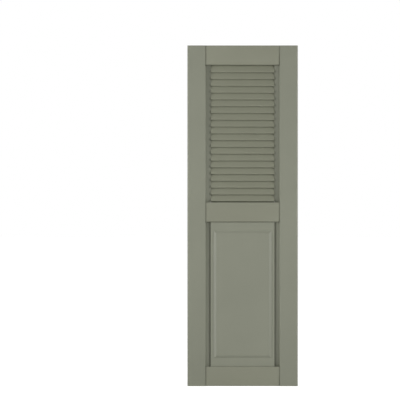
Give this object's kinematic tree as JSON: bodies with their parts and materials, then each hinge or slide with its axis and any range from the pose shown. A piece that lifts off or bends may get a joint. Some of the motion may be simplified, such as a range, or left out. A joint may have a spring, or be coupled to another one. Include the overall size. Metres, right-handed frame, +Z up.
{
  "type": "vinyl shutter",
  "caption": "Upright exterior window shutter of sage green vinyl: fixed louvres above a middle rail, a raised panel below, in a frame of hollow stiles and rails.",
  "frame": {"origin": "bottom centre of the shutter's box: middle of its width and of its depth, at the lower edge", "axes": "+X to the right as seen from the front, +Y from the face to the back that lies on the wall, +Z up the shutter"},
  "size_m": [0.381, 0.03, 1.175],
  "materials": {
    "stile_vinyl": "matte to satin, fine embossed wood grain, colour moulded through",
    "rail_vinyl": "matte to satin, fine embossed wood grain, colour moulded through",
    "louver_vinyl": "matte to satin, fine embossed wood grain, colour moulded through",
    "panel_vinyl": "matte to satin, fine embossed wood grain, colour moulded through",
    "plug_vinyl": "plain matte moulding",
    "stainless_screws": "plain stainless steel"
  },
  "bodies": {
    "root": {"bottom_left_plug": "plug_vinyl", "bottom_rail": "rail_vinyl", "bottom_right_plug": "plug_vinyl", "left_stile": "stile_vinyl", "louver_01": "louver_vinyl", "louver_02": "louver_vinyl", "louver_03": "louver_vinyl", "louver_04": "louver_vinyl", "louver_05": "louver_vinyl", "louver_06": "louver_vinyl", "louver_07": "louver_vinyl", "louver_08": "louver_vinyl", "louver_09": "louver_vinyl", "louver_10": "louver_vinyl", "louver_11": "louver_vinyl", "louver_12": "louver_vinyl", "louver_13": "louver_vinyl", "louver_14": "louver_vinyl", "louver_15": "louver_vinyl", "louver_16": "louver_vinyl", "louver_17": "louver_vinyl", "louver_18": "louver_vinyl", "louver_19": "louver_vinyl", "louver_20": "louver_vinyl", "mid_rail": "rail_vinyl", "rail_screws": "stainless_screws", "raised_panel": "panel_vinyl", "right_stile": "stile_vinyl", "top_left_plug": "plug_vinyl", "top_rail": "rail_vinyl", "top_right_plug": "plug_vinyl"}
  },
  "joints": []
}
